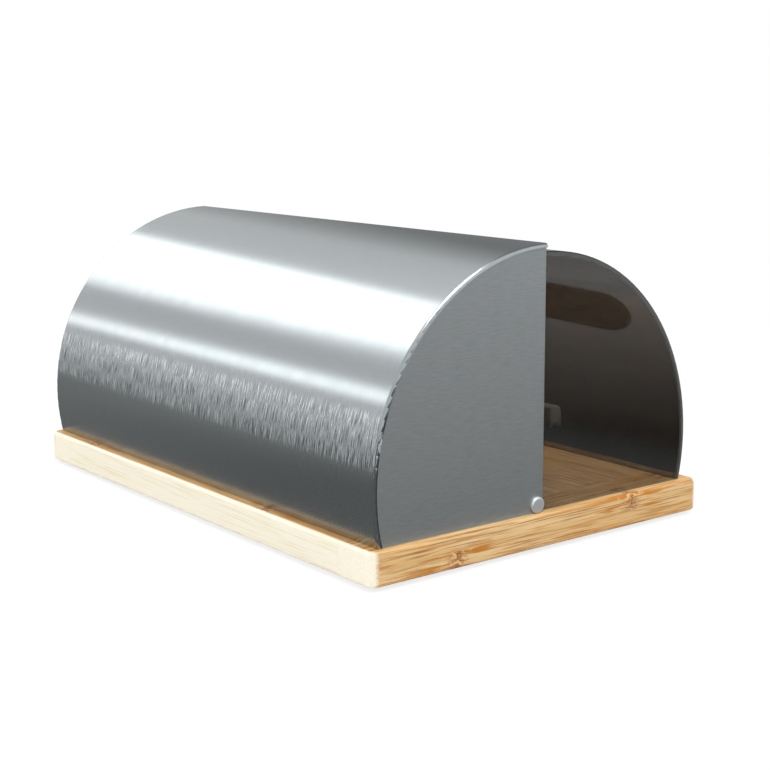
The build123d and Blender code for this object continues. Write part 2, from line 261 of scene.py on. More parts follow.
@dataclass(frozen=True)
class OiledBamboo:
    """Bamboo strips glued up in two layers and oiled: pale, finely streaked, mottled brown at each node."""

    name: str
    grain: Direction
    node_start_mm: float
    gloss: float = 0.5
    ior: float = 1.5
    roughness: Range = (0.40, 0.55)
    pale: str = "#DBBB8A"
    warm: str = "#C99B5C"
    fibre: str = "#805012"
    flame: str = "#B3721C"
    node: str = "#86470F"
    speck: str = "#DBB27A"
    # The board's sawn sides, the faces towards ±Y, are painted a pale cream over their real streaks and
    # fibre dots: a painted highlight that stands in for the strong light on them. A face turns into a side
    # as its normal's share of Y goes through this range.
    side: str = "#E6E0CE"
    lit_side_fibre: str = "#DACBAA"
    side_turn: Range = (0.1, 0.5)

    # strip_share is how far strips differ in tone. The top face lies on a layer's limit, so the layers are
    # counted from layer_share of one above the board's foot.
    strip_mm: float = 19.0
    strip_share: float = 0.25
    layer_mm: float = 10.0
    layer_share: float = 0.02
    tone_width_mm: float = 4.5
    tone_length_mm: float = 150.0
    warm_tones: Range = (0.4, 0.85)

    # Bamboo fibres are about 0.3 mm wide. They are drawn 0.7 mm wide, because finer ones don't show.
    fibre_width_mm: float = 0.7
    fibre_length_mm: float = 42.0
    fibre_depth_mm: float = 0.05
    fibre_relief: float = 0.5
    dark_fibres: Range = (0.5, 0.66)
    fibre_strength: float = 0.85

    # Where fibre bundles are cut across they show as dots.
    bundle_mm: float = 1.1
    bundle_edge: Range = (0.15, 0.4)
    bundle_strength: float = 0.7

    # A node's mark is frayed by the mottle. The fray and the fade are in shares of the mark's reach.
    node_spacing_mm: float = 210.0
    node_stagger_mm: float = 137.0
    node_reach_mm: float = 12.5
    node_fray: float = 2.2
    node_fade: Range = (1.1, 2.0)
    node_strength: float = 0.9
    mottle_width_mm: float = 2.6
    mottle_length_mm: float = 4.16
    dark_mottle: Range = (0.38, 0.54)

    # Flames are warm patches along the grain, stronger near a node than far from it.
    flame_reach_mm: float = 45.0
    flame_width_mm: float = 2.4
    flame_length_mm: float = 38.0
    flame_edge: Range = (0.5, 0.6)
    flame_near: float = 0.95
    flame_far: float = 0.45

    def drawn_out(self, tree: Tree, point: Socket, length_mm: float, width_mm: float) -> Socket:
        """Scales a point for a pattern that is drawn out along the grain."""
        return stretched(tree, point, (length_mm, width_mm, width_mm))

    def strip_chance(self, tree: Tree, across: Socket) -> Socket:
        """Draws a number from 0 to 1 for each strip.

        Args:
            tree: The material's node tree.
            across: The socket with the distance across the grain.

        Returns:
            The socket with the number.
        """
        in_strips = add_node(tree, "ShaderNodeMath", {
            0: across, 1: self.strip_mm * MM}, operation="DIVIDE").outputs[0]
        strip = add_node(tree, "ShaderNodeMath", {0: in_strips}, operation="FLOOR").outputs[0]
        return add_node(tree, "ShaderNodeTexWhiteNoise", {
            "W": strip}, noise_dimensions="1D").outputs["Value"]

    def node_distance(self, tree: Tree, point: Socket, chance: Socket) -> Socket:
        """Measures how far the nearest node of the same strip is along the grain.

        Args:
            tree: The material's node tree.
            point: The socket with the point, x along the grain and y across it.
            chance: The socket with the strip's number from 0 to 1.

        Returns:
            The socket with the distance.
        """
        part = add_node(tree, "ShaderNodeSeparateXYZ", {0: point}).outputs
        step = 1 / (self.layer_mm * MM)
        in_layers = add_node(tree, "ShaderNodeMath", {
            0: part["Z"], 1: step, 2: -BOARD_LOW * step - self.layer_share},
            operation="MULTIPLY_ADD").outputs[0]
        layer = add_node(tree, "ShaderNodeMath", {0: in_layers}, operation="FLOOR").outputs[0]
        shift = add_node(tree, "ShaderNodeMath", {
            0: chance, 1: self.node_spacing_mm * MM, 2: -self.node_start_mm * MM},
            operation="MULTIPLY_ADD").outputs[0]
        start = add_node(tree, "ShaderNodeMath", {
            0: layer, 1: self.node_stagger_mm * MM, 2: shift}, operation="MULTIPLY_ADD").outputs[0]
        run = add_node(tree, "ShaderNodeMath", {0: part["X"], 1: start}, operation="ADD").outputs[0]
        half = self.node_spacing_mm * MM / 2
        return add_node(tree, "ShaderNodeMath", {0: run, 1: half}, operation="PINGPONG").outputs[0]

    def strip_colour(self, tree: Tree, point: Socket, chance: Socket, streak: Socket) -> Socket:
        """Colours the strips between their nodes: pale or warm, with dark fibres.

        Args:
            tree: The material's node tree.
            point: The socket with the point, x along the grain and y across it.
            chance: The socket with the strip's number from 0 to 1.
            streak: The socket with the strength of the dark fibres.

        Returns:
            The socket with the colour.
        """
        tones = add_node(tree, "ShaderNodeTexNoise", {
            "Vector": self.drawn_out(tree, point, self.tone_length_mm, self.tone_width_mm),
            "Scale": 1.0, "Detail": 3.0}).outputs["Fac"]
        tone = add_node(tree, "ShaderNodeMath", {
            0: chance, 1: self.strip_share, 2: tones}, operation="MULTIPLY_ADD").outputs[0]
        share = add_node(tree, "ShaderNodeMapRange", {
            "Value": tone, "From Min": self.warm_tones[0], "From Max": self.warm_tones[1]}).outputs[0]
        ground = add_node(tree, "ShaderNodeMix", {
            SHARE: share, COLOUR_A: linear(self.pale), COLOUR_B: linear(self.warm)},
            data_type="RGBA").outputs[MIXED]
        return add_node(tree, "ShaderNodeMix", {
            SHARE: streak, COLOUR_A: ground, COLOUR_B: linear(self.fibre)}, data_type="RGBA").outputs[MIXED]

    def face_colour(self, tree: Tree, point: Socket, chance: Socket, streak: Socket) -> Socket:
        """Colours the planed faces: the strips, their flames and a mottled mark at each node.

        Args:
            tree: The material's node tree.
            point: The socket with the point, x along the grain and y across it.
            chance: The socket with the strip's number from 0 to 1.
            streak: The socket with the strength of the dark fibres.

        Returns:
            The socket with the colour.
        """
        distance = self.node_distance(tree, point, chance)
        reach = self.node_reach_mm * MM
        flames = add_node(tree, "ShaderNodeTexNoise", {
            "Vector": self.drawn_out(tree, point, self.flame_length_mm, self.flame_width_mm),
            "Scale": 1.0, "Detail": 3.0}).outputs["Fac"]
        patch = add_node(tree, "ShaderNodeMapRange", {
            "Value": flames, "From Min": self.flame_edge[0], "From Max": self.flame_edge[1]}).outputs[0]
        glow = add_node(tree, "ShaderNodeMapRange", {
            "Value": distance, "From Min": reach, "From Max": self.flame_reach_mm * MM,
            "To Min": self.flame_near, "To Max": self.flame_far}, interpolation_type="SMOOTHSTEP").outputs[0]
        warmth = add_node(tree, "ShaderNodeMath", {0: glow, 1: patch}, operation="MULTIPLY").outputs[0]
        warmed = add_node(tree, "ShaderNodeMix", {
            SHARE: warmth, COLOUR_A: self.strip_colour(tree, point, chance, streak),
            COLOUR_B: linear(self.flame)}, data_type="RGBA").outputs[MIXED]

        mottle = add_node(tree, "ShaderNodeTexNoise", {
            "Vector": self.drawn_out(tree, point, self.mottle_length_mm, self.mottle_width_mm),
            "Scale": 1.0, "Detail": 2.0, "Distortion": 0.6}).outputs["Fac"]
        dark = add_node(tree, "ShaderNodeMapRange", {
            "Value": mottle, "From Min": self.dark_mottle[0], "From Max": self.dark_mottle[1]}).outputs[0]
        knot = add_node(tree, "ShaderNodeMix", {
            SHARE: dark, COLOUR_A: linear(self.speck), COLOUR_B: linear(self.node)},
            data_type="RGBA").outputs[MIXED]
        frayed = add_node(tree, "ShaderNodeMath", {
            0: mottle, 1: reach * self.node_fray, 2: distance}, operation="MULTIPLY_ADD").outputs[0]
        mark = add_node(tree, "ShaderNodeMapRange", {
            "Value": frayed, "From Min": reach * self.node_fade[0], "From Max": reach * self.node_fade[1],
            "To Min": self.node_strength, "To Max": 0.0}, interpolation_type="SMOOTHSTEP").outputs[0]
        return add_node(tree, "ShaderNodeMix", {
            SHARE: mark, COLOUR_A: warmed, COLOUR_B: knot}, data_type="RGBA").outputs[MIXED]

    def painted_light_side_colour(self, tree: Tree, place: Socket, streak: Socket) -> Socket:
        """Colours the sawn sides: streaks along the grain, or dots where the fibres are cut across.

        Their pale ground is a painted highlight that stands in for the strong light on them.

        Args:
            tree: The material's node tree.
            place: The socket with the point in the frame.
            streak: The socket with the strength of the dark fibres.

        Returns:
            The socket with the colour.
        """
        sawn = streak
        if self.grain is Direction.ALONG_Y:
            bundles = add_node(tree, "ShaderNodeTexVoronoi", {
                "Vector": stretched(tree, place, (self.bundle_mm,) * 3), "Scale": 1.0}).outputs["Distance"]
            sawn = add_node(tree, "ShaderNodeMapRange", {
                "Value": bundles, "From Min": self.bundle_edge[0], "From Max": self.bundle_edge[1],
                "To Min": self.bundle_strength, "To Max": 0.0}).outputs[0]
        return add_node(tree, "ShaderNodeMix", {
            SHARE: sawn, COLOUR_A: linear(self.side), COLOUR_B: linear(self.lit_side_fibre)},
            data_type="RGBA").outputs[MIXED]

    def material(self) -> Material:
        """Builds the bamboo.

        Returns:
            The material.
        """
        material, tree = empty_material(self.name)
        coordinates = add_node(tree, "ShaderNodeTexCoord").outputs
        place = coordinates["Object"]
        part = add_node(tree, "ShaderNodeSeparateXYZ", {0: place}).outputs
        along, across = (part["X"], part["Y"]) if self.grain is Direction.ALONG_X else (part["Y"], part["X"])
        point = add_node(tree, "ShaderNodeCombineXYZ", {"X": along, "Y": across, "Z": part["Z"]}).outputs[0]
        chance = self.strip_chance(tree, across)
        fibres = add_node(tree, "ShaderNodeTexNoise", {
            "Vector": self.drawn_out(tree, point, self.fibre_length_mm, self.fibre_width_mm),
            "Scale": 1.0, "Detail": 4.0, "Roughness": 0.6}).outputs["Fac"]
        streak = add_node(tree, "ShaderNodeMapRange", {
            "Value": fibres, "From Min": self.dark_fibres[0], "From Max": self.dark_fibres[1],
            "To Min": 0.0, "To Max": self.fibre_strength}).outputs[0]
        # The faces towards ±Y take the pale side colour: a painted highlight that stands in for the strong
        # light on them.
        outward = add_node(tree, "ShaderNodeSeparateXYZ", {0: coordinates["Normal"]}).outputs["Y"]
        facing = add_node(tree, "ShaderNodeMath", {0: outward}, operation="ABSOLUTE").outputs[0]
        on_lit_side = add_node(tree, "ShaderNodeMapRange", {
            "Value": facing, "From Min": self.side_turn[0], "From Max": self.side_turn[1]}).outputs[0]
        colour = add_node(tree, "ShaderNodeMix", {
            SHARE: on_lit_side, COLOUR_A: self.face_colour(tree, point, chance, streak),
            COLOUR_B: self.painted_light_side_colour(tree, place, streak)}, data_type="RGBA").outputs[MIXED]
        roughness = add_node(tree, "ShaderNodeMapRange", {
            "Value": fibres, "From Min": NOISE_LOW, "From Max": NOISE_HIGH,
            "To Min": self.roughness[0], "To Max": self.roughness[1]}).outputs[0]
        bump = add_node(tree, "ShaderNodeBump", {
            "Height": fibres, "Strength": self.fibre_relief, "Distance": self.fibre_depth_mm * MM}).outputs[0]
        shader = add_node(tree, "ShaderNodeBsdfPrincipled", {
            "Base Color": colour, "Roughness": roughness, "Normal": bump, "IOR": self.ior,
            "Specular IOR Level": self.gloss})
        add_node(tree, "ShaderNodeOutputMaterial", {"Surface": shader.outputs[0]})
        return material


@dataclass(frozen=True)
class SmokedAcrylic:
    """Cast acrylic dyed a brown grey: a dark clear wall with a hard gloss, and edges left matt by the saw."""

    name: str
    bent: bool
    tint: str = "#A3A2A0"
    daylight: str = "#F0EDEA"
    sawn: str = "#474B49"
    sawn_roughness: float = 0.5
    ior: float = 1.49
    haze_mm: float = 40.0
    haze_edge: Range = (0.4, 0.75)
    clear_roughness: float = 0.015
    hazy_roughness: float = 0.03
    # An edge turns into wall as the normal's share of the wall's own direction goes through this range.
    edge_turn: Range = (0.4, 0.7)

    def facing(self, tree: Tree) -> Socket:
        """Tells the wall's two broad sides from its edges.

        Args:
            tree: The material's node tree.

        Returns:
            The socket with 1 on the broad sides and 0 on the edges.
        """
        coordinates = add_node(tree, "ShaderNodeTexCoord").outputs
        out = ALONG_BOX
        if self.bent:
            radius = add_node(tree, "ShaderNodeVectorMath", {
                0: coordinates["Object"], 1: LID_AXIS}, operation="SUBTRACT").outputs[0]
            upright = add_node(tree, "ShaderNodeVectorMath", {
                0: radius, 1: (0, 1, 1)}, operation="MULTIPLY").outputs[0]
            out = add_node(tree, "ShaderNodeVectorMath", {0: upright}, operation="NORMALIZE").outputs[0]
        side = add_node(tree, "ShaderNodeVectorMath", {
            0: coordinates["Normal"], 1: out}, operation="DOT_PRODUCT").outputs["Value"]
        return add_node(tree, "ShaderNodeMath", {0: side}, operation="ABSOLUTE").outputs[0]

    def material(self) -> Material:
        """Builds the acrylic, which lets lamps and room light through as well as the view.

        Returns:
            The material.
        """
        material, tree = empty_material(self.name)
        place = add_node(tree, "ShaderNodeTexCoord").outputs["Object"]
        haze = add_node(tree, "ShaderNodeTexNoise", {
            "Vector": stretched(tree, place, (self.haze_mm,) * 3),
            "Scale": 1.0, "Detail": 4.0}).outputs["Fac"]
        roughness = add_node(tree, "ShaderNodeMapRange", {
            "Value": haze, "From Min": self.haze_edge[0], "From Max": self.haze_edge[1],
            "To Min": self.clear_roughness, "To Max": self.hazy_roughness}).outputs[0]
        wall = add_node(tree, "ShaderNodeBsdfPrincipled", {
            "Base Color": linear(self.tint), "Roughness": roughness, "IOR": self.ior,
            "Transmission Weight": 1.0})
        edge = add_node(tree, "ShaderNodeBsdfPrincipled", {
            "Base Color": linear(self.sawn), "Roughness": self.sawn_roughness, "IOR": self.ior})
        on_edge = add_node(tree, "ShaderNodeMapRange", {
            "Value": self.facing(tree), "From Min": self.edge_turn[0], "From Max": self.edge_turn[1],
            "To Min": 1.0, "To Max": 0.0}).outputs[0]
        body = add_node(tree, "ShaderNodeMixShader", {0: on_edge, 1: wall.outputs[0], 2: edge.outputs[0]})
        passing = add_node(tree, "ShaderNodeBsdfTransparent", {"Color": linear(self.daylight)})
        path = add_node(tree, "ShaderNodeLightPath").outputs
        light = add_node(tree, "ShaderNodeMath", {
            0: path["Is Shadow Ray"], 1: path["Is Diffuse Ray"]}, operation="MAXIMUM").outputs[0]
        shader = add_node(tree, "ShaderNodeMixShader", {0: light, 1: body.outputs[0], 2: passing.outputs[0]})
        add_node(tree, "ShaderNodeOutputMaterial", {"Surface": shader.outputs[0]})
        return material


@dataclass(frozen=True)
class GrainedSurface:
    """A finish with an even fine grain: rubber, nylon, felt, plated or lacquered metal."""

    name: str
    light: str
    dark: str
    roughness: float
    # Real grains are 0.05 to 0.3 mm wide. They are drawn wider, because finer ones don't show.
    grain_mm: float
    grain_depth_mm: float
    grain_relief: float = 0.6
    roughness_spread: float = 0.1
    metallic: float = 0.0
    sheen: float = 0.0
    subsurface: float = 0.0

    def material(self) -> Material:
        """Builds the finish.

        Returns:
            The material.
        """
        material, tree = empty_material(self.name)
        place = add_node(tree, "ShaderNodeTexCoord").outputs["Object"]
        grain = add_node(tree, "ShaderNodeTexNoise", {
            "Vector": stretched(tree, place, (self.grain_mm,) * 3),
            "Scale": 1.0, "Detail": 3.0}).outputs["Fac"]
        colour = add_node(tree, "ShaderNodeMix", {
            SHARE: grain, COLOUR_A: linear(self.dark), COLOUR_B: linear(self.light)},
            data_type="RGBA").outputs[MIXED]
        roughness = add_node(tree, "ShaderNodeMapRange", {
            "Value": grain, "From Min": NOISE_LOW, "From Max": NOISE_HIGH,
            "To Min": self.roughness - self.roughness_spread / 2,
            "To Max": self.roughness + self.roughness_spread / 2}).outputs[0]
        bump = add_node(tree, "ShaderNodeBump", {
            "Height": grain, "Strength": self.grain_relief, "Distance": self.grain_depth_mm * MM}).outputs[0]
        shader = add_node(tree, "ShaderNodeBsdfPrincipled", {
            "Base Color": colour, "Metallic": self.metallic, "Roughness": roughness, "Normal": bump,
            "Sheen Weight": self.sheen, "Subsurface Weight": self.subsurface})
        add_node(tree, "ShaderNodeOutputMaterial", {"Surface": shader.outputs[0]})
        return material


# Zinc plating is a cool grey metal, a little cloudy, with a blurred shine.
ZINC = GrainedSurface("zinc plated steel", "#B9BCBE", "#9FA3A6", roughness=0.32, grain_mm=0.5,
                      grain_depth_mm=0.01, metallic=1.0)


def dress(nodes: tuple[str, ...], material: Material) -> Iterator[str]:
    """Puts a material on CAD nodes.

    Args:
        nodes: The names of the nodes.
        material: The material for all of them.

    Yields:
        A line for the log for each node.
    """
    for name in nodes:
        slots = frame["nodes"][name].data.materials
        slots.clear()
        slots.append(material)
        yield f"{name}: {material.name}"


@dataclass
class Board:
    """The bamboo board with its two cross-grained end caps and four rubber feet."""

    panel: tuple[str, ...] = ("board_panel",)
    caps: tuple[str, ...] = ("board_end_cap_left", "board_end_cap_right")
    feet: tuple[str, ...] = ("foot_front_left", "foot_front_right", "foot_rear_left", "foot_rear_right")
    panel_node_mm: float = 40.0
    cap_node_mm: float = 123.2
    cap_gloss: float = 0.2

    def build(self) -> Iterator[str]:
        """Dresses the board.

        Yields:
            A line for the log for each piece.
        """
        # Oil warms the planed bamboo to straw and amber and leaves a satin shine. The caps soak up more of it
        # and shine less.
        panel = OiledBamboo("oiled bamboo, long grain", Direction.ALONG_X, self.panel_node_mm)
        yield from dress(self.panel, panel.material())
        caps = OiledBamboo("oiled bamboo, cross grain", Direction.ALONG_Y, self.cap_node_mm,
                           gloss=self.cap_gloss)
        yield from dress(self.caps, caps.material())
        # Moulded rubber is a dull near black with hardly any shine.
        rubber = GrainedSurface("moulded black rubber", "#2B2B2C", "#1C1C1D", roughness=0.75, grain_mm=0.6,
                                grain_depth_mm=0.05)
        yield from dress(self.feet, rubber.material())


@dataclass
class SteelBody:
    """The curved rear shell, the two flat end panels and the screws that hold them on the board."""

    shell: tuple[str, ...] = ("rear_shell",)
    panels: tuple[str, ...] = ("end_panel_left", "end_panel_right")
    screws: tuple[str, ...] = ("panel_screws", "shell_screws")

    def build(self) -> Iterator[str]:
        """Dresses the steel.

        Yields:
            A line for the log for each piece.
        """
        # The shell's brushing runs around the barrel, so lamps show on it as long bands along the box.
        shell = BrushedSteel("brushed stainless steel, shell", Direction.AROUND, deep_lean=0.20)
        yield from dress(self.shell, shell.material())
        # The ends have a coarser brushing and are nearly matt: an even grey with fine level streaks.
        ends = BrushedSteel("brushed stainless steel, ends", Direction.ALONG_Y, bright="#BABFC1",
                            dull="#9AA0A2", roughness=0.42, anisotropy=0.9, line_width_mm=0.9,
                            line_length_mm=9.0)
        yield from dress(self.panels, ends.material())
        yield from dress(self.screws, ZINC.material())


@dataclass
class LidGuides:
    """The two rivets that guide the lid, with their washers."""

    rivets: tuple[str, ...] = ("guide_rivet_left", "guide_rivet_right")
    spacers: tuple[str, ...] = ("spacer_washer_left", "spacer_washer_right")
    retainers: tuple[str, ...] = ("retaining_washer_left", "retaining_washer_right")

    def build(self) -> Iterator[str]:
        """Dresses the guides.

        Yields:
            A line for the log for each piece.
        """
        # Clear lacquer on aluminium gives a pale silver with a soft highlight.
        aluminium = GrainedSurface("lacquered aluminium", "#E2E5E8", "#D6DADD", roughness=0.38, grain_mm=0.8,
                                   grain_depth_mm=0.005, metallic=0.75)
        yield from dress(self.rivets, aluminium.material())
        # Uncoloured nylon is a milky white that lets some light in.
        nylon = GrainedSurface("natural nylon", "#E4E0D4", "#D6D1C3", roughness=0.45, grain_mm=0.7,
                               grain_depth_mm=0.02, subsurface=0.15)
        yield from dress(self.spacers, nylon.material())
        yield from dress(self.retainers, ZINC.material())


@dataclass
class Lid:
    """The smoked lid that rolls back under the shell, with its felt edge and its handle."""

    sheet: tuple[str, ...] = ("lid_sheet",)
    ends: tuple[str, ...] = ("lid_end_left", "lid_end_right")
    felt: tuple[str, ...] = ("lid_glide_strip",)
    handle: tuple[str, ...] = ("handle",)
    fixings: tuple[str, ...] = ("handle_screws", "handle_washers")

    def build(self) -> Iterator[str]:
        """Dresses the lid.

        Yields:
            A line for the log for each piece.
        """
        # Smoked acrylic darkens what is behind it, mirrors the room sharply and has dull dark edges.
        yield from dress(self.sheet, SmokedAcrylic("smoked acrylic, bent sheet", bent=True).material())
        yield from dress(self.ends, SmokedAcrylic("smoked acrylic, end plates", bent=False).material())
        # Pressed felt is a fuzzy charcoal that takes up light, with a faint pale bloom at its edges.
        felt = GrainedSurface("pressed wool felt", "#3A3836", "#252423", roughness=0.95, grain_mm=0.5,
                              grain_depth_mm=0.25, sheen=0.4)
        yield from dress(self.felt, felt.material())
        # Silver lacquer on cast zinc looks smooth and satin, half paint and half metal.
        silver = GrainedSurface("silver lacquered zinc", "#C4CACE", "#B5BBBF", roughness=0.34, grain_mm=0.4,
                                grain_depth_mm=0.01, metallic=0.3)
        yield from dress(self.handle, silver.material())
        yield from dress(self.fixings, ZINC.material())


@dataclass(frozen=True)
class Ramp:
    """A brightness that changes evenly from one point to another, where 1 is white."""

    start: Point
    end: Point
    levels: Range

    def level(self, tree: Tree) -> Socket:
        """Builds the ramp.

        Args:
            tree: The card's node tree.

        Returns:
            The socket with the brightness.
        """
        place = add_node(tree, "ShaderNodeTexCoord").outputs["Object"]
        reach = Vector(self.end) - Vector(self.start)
        gone = add_node(tree, "ShaderNodeVectorMath", {
            0: place, 1: self.start}, operation="SUBTRACT").outputs[0]
        share = add_node(tree, "ShaderNodeVectorMath", {
            0: gone, 1: reach / reach.length_squared}, operation="DOT_PRODUCT").outputs["Value"]
        return add_node(tree, "ShaderNodeMapRange", {
            "Value": share, "To Min": self.levels[0], "To Max": self.levels[1]}).outputs[0]


def level_corners(left: float, right: float, front: float, rear: float, height: float) -> list[Point]:
    """Gives the corners of a level rectangle in order."""
    return [(left, front, height), (right, front, height), (right, rear, height), (left, rear, height)]


def upright_corners(left: float, right: float, depth: float, top: float) -> list[Point]:
    """Gives the corners of a rectangle that stands on the floor at one depth, in order."""
    return [(left, depth, 0), (right, depth, 0), (right, depth, top), (left, depth, top)]


@dataclass
class Studio:
    """A white floor and backdrop, soft lamps, and grey cards that show only in gloss or through the lid."""

    camera_place: Point = (-0.79205, 0.59441, 0.25753)
    camera_heading_deg: float = -38.08
    camera_dip_deg: float = 8.52
    # The photograph's upright edges run nearly parallel, so a part of its downward view is shift.
    camera_shift: float = -0.08
    focal_px: float = 1518.2
    photo_px: float = 770.0
    sensor_mm: float = 36.0

    room_light: float = 0.5
    floor_half: float = 40.0
    floor_paint: str = "#F2F2F2"
    # To the eye the floor's paint gives way to plain white, by floor_glow up to shadow_start from the origin,
    # and fully from shadow_reach on.
    floor_glow: float = 0.8
    shadow_start: float = 0.4
    shadow_reach: float = 1.2

    # Table cards lie just above the floor. They meet under the board's rear edge and past its right end.
    card_lift: float = 1 * MM
    table_half: float = 3.0
    parting_x: float = 0.25
    parting_y: float = 0.12

    # Upright cards stand in front of the object and behind it. The end card carries the front card on to -X.
    front_y: float = -1.4
    front_top: float = 5.0
    front_left: float = -0.8
    front_right: float = 9.0
    end_left: float = -6.0
    end_level: float = 1.0
    rear_y: float = 1.9
    rear_top: float = 3.2
    rear_left: float = -2.5
    rear_right: float = 7.0

    # The near lid end mirrors a tray: half an ellipse, with straight sides that run on for tray_run times its
    # width.
    tray_middle: tuple[float, float] = (-0.848, -0.739)
    tray_wide: Point = (0.057, 0.008, 0.0)
    tray_deep: Point = (0.12, 0.118, 0.0)
    tray_run: float = 5.0
    tray_step_deg: int = 15
    tray_level: float = 0.02

    # The broad band on the shell widens along the box, so the softbox face that makes it is a tapered one.
    face_left: float = 0.3
    face_right: float = 2.0
    face_rear: float = 0.628
    face_front_left: float = 0.185
    face_front_right: float = -0.283
    face_height: float = 0.899
    face_level: float = 3.0

    # What shows through the lid is a dark card in place of the white floor, with a glowing card along the
    # board's front edge: a painted strip of light.
    strip_width: float = 0.14

    def white_to_eye(self, tree: Tree) -> Socket:
        """Gives 1 on the rays that show the background: the camera's, mirrored and seen through glass.

        Args:
            tree: The node tree of the floor or the world.

        Returns:
            The socket with the factor.
        """
        path = add_node(tree, "ShaderNodeLightPath").outputs
        seen = add_node(tree, "ShaderNodeMath", {
            0: path["Is Camera Ray"], 1: path["Is Glossy Ray"]}, operation="MAXIMUM").outputs[0]
        return add_node(tree, "ShaderNodeMath", {
            0: seen, 1: path["Is Transmission Ray"]}, operation="MAXIMUM").outputs[0]

    def world(self) -> str:
        """Makes a white backdrop whose light on the object is a soft grey.

        Returns:
            A line for the log.
        """
        world = bpy.data.worlds.new("studio backdrop")
        world.use_nodes = True
        tree = world.node_tree
        tree.nodes.clear()
        level = add_node(tree, "ShaderNodeMapRange", {
            "Value": self.white_to_eye(tree), "To Min": self.room_light, "To Max": 1.0}).outputs[0]
        backdrop = add_node(tree, "ShaderNodeBackground", {"Color": WHITE, "Strength": level})
        add_node(tree, "ShaderNodeOutputWorld", {"Surface": backdrop.outputs[0]})
        bpy.context.scene.world = world
        return "studio: backdrop"

    def plane(self, name: str, corners: list[Point], material: Material) -> bpy.types.Object:
        """Makes a flat stage piece.

        Args:
            name: The piece's name.
            corners: Its corners in order.
            material: Its material.

        Returns:
            The stage piece.
        """
        mesh = bpy.data.meshes.new(name)
        mesh.from_pydata(corners, [], [range(len(corners))])
        mesh.materials.append(material)
        piece = bpy.data.objects.new(name, mesh)
        bpy.context.scene.collection.objects.link(piece)
        return piece

    def floor(self) -> str:
        """Makes the white floor, which keeps a soft shadow near the object.

        Returns:
            A line for the log.
        """
        # Matt white paint: the floor runs into the backdrop with no line, and only the shadow shows on it.
        material, tree = empty_material("white studio floor")
        place = add_node(tree, "ShaderNodeTexCoord").outputs["Object"]
        distance = add_node(tree, "ShaderNodeVectorMath", {0: place}, operation="LENGTH").outputs["Value"]
        white = add_node(tree, "ShaderNodeMapRange", {
            "Value": distance, "From Min": self.shadow_start, "From Max": self.shadow_reach,
            "To Min": self.floor_glow, "To Max": 1.0}, interpolation_type="SMOOTHSTEP").outputs[0]
        share = add_node(tree, "ShaderNodeMath", {
            0: white, 1: self.white_to_eye(tree)}, operation="MULTIPLY").outputs[0]
        paint = add_node(tree, "ShaderNodeBsdfDiffuse", {"Color": linear(self.floor_paint)})
        glow = add_node(tree, "ShaderNodeEmission", {"Color": WHITE, "Strength": 1.0})
        shader = add_node(tree, "ShaderNodeMixShader", {0: share, 1: paint.outputs[0], 2: glow.outputs[0]})
        add_node(tree, "ShaderNodeOutputMaterial", {"Surface": shader.outputs[0]})
        half = self.floor_half
        self.plane("floor", level_corners(-half, half, -half, half, 0), material)
        return "studio: floor"

    def card(self, name: str, shown: Shown, corners: list[Point], level: float | Ramp) -> str:
        """Makes a grey card.

        Args:
            name: The card's name.
            shown: Where it shows.
            corners: Its corners in order.
            level: Its brightness, where 1 is white, or the ramp that gives it.

        Returns:
            A line for the log.
        """
        material, tree = empty_material(name)
        strength = level.level(tree) if isinstance(level, Ramp) else level
        glow = add_node(tree, "ShaderNodeEmission", {"Color": WHITE, "Strength": strength})
        add_node(tree, "ShaderNodeOutputMaterial", {"Surface": glow.outputs[0]})
        piece = self.plane(name, corners, material)
        piece.visible_camera = False
        piece.visible_diffuse = False
        piece.visible_shadow = False
        piece.visible_glossy = shown is Shown.IN_GLOSS
        piece.visible_transmission = shown is Shown.THROUGH_LID
        return f"studio: {name}"

    def tray_corners(self) -> list[Point]:
        """Works out the tray's outline.

        Returns:
            Its corners in order.
        """
        middle = Vector((*self.tray_middle, 2 * self.card_lift))
        wide = Vector(self.tray_wide)
        deep = Vector(self.tray_deep)
        turns = [math.radians(degrees) for degrees in range(-90, 91, self.tray_step_deg)]
        rim = [middle + wide * math.cos(turn) + deep * math.sin(turn) for turn in turns]
        run = wide * self.tray_run
        return [tuple(corner) for corner in (*rim, rim[-1] - run, rim[0] - run)]

    def table_cards(self) -> Iterator[str]:
        """Makes the cards on the table that the steel and the lid mirror.

        Yields:
            A line for the log for each card.
        """
        half, lift = self.table_half, self.card_lift
        yield self.card("table card, right", Shown.IN_GLOSS,
                        level_corners(self.parting_x, half, -half, self.parting_y, lift),
                        Ramp(start=(self.parting_x, 0, 0), end=(half, 0, 0), levels=(0.3, 0.6)))
        yield self.card("table card, front", Shown.IN_GLOSS,
                        level_corners(-half, self.parting_x, -half, self.parting_y, lift),
                        Ramp(start=(-0.36, -0.27, 0), end=(-1.1, -1.0, 0), levels=(0.07, 1.25)))
        yield self.card("dark tray", Shown.IN_GLOSS, self.tray_corners(), self.tray_level)
        yield self.card("table card, rear", Shown.IN_GLOSS,
                        level_corners(-half, half, self.parting_y, half, lift),
                        Ramp(start=(0, 0, 0), end=(0.4, 0, 0), levels=(0.18, 0.29)))

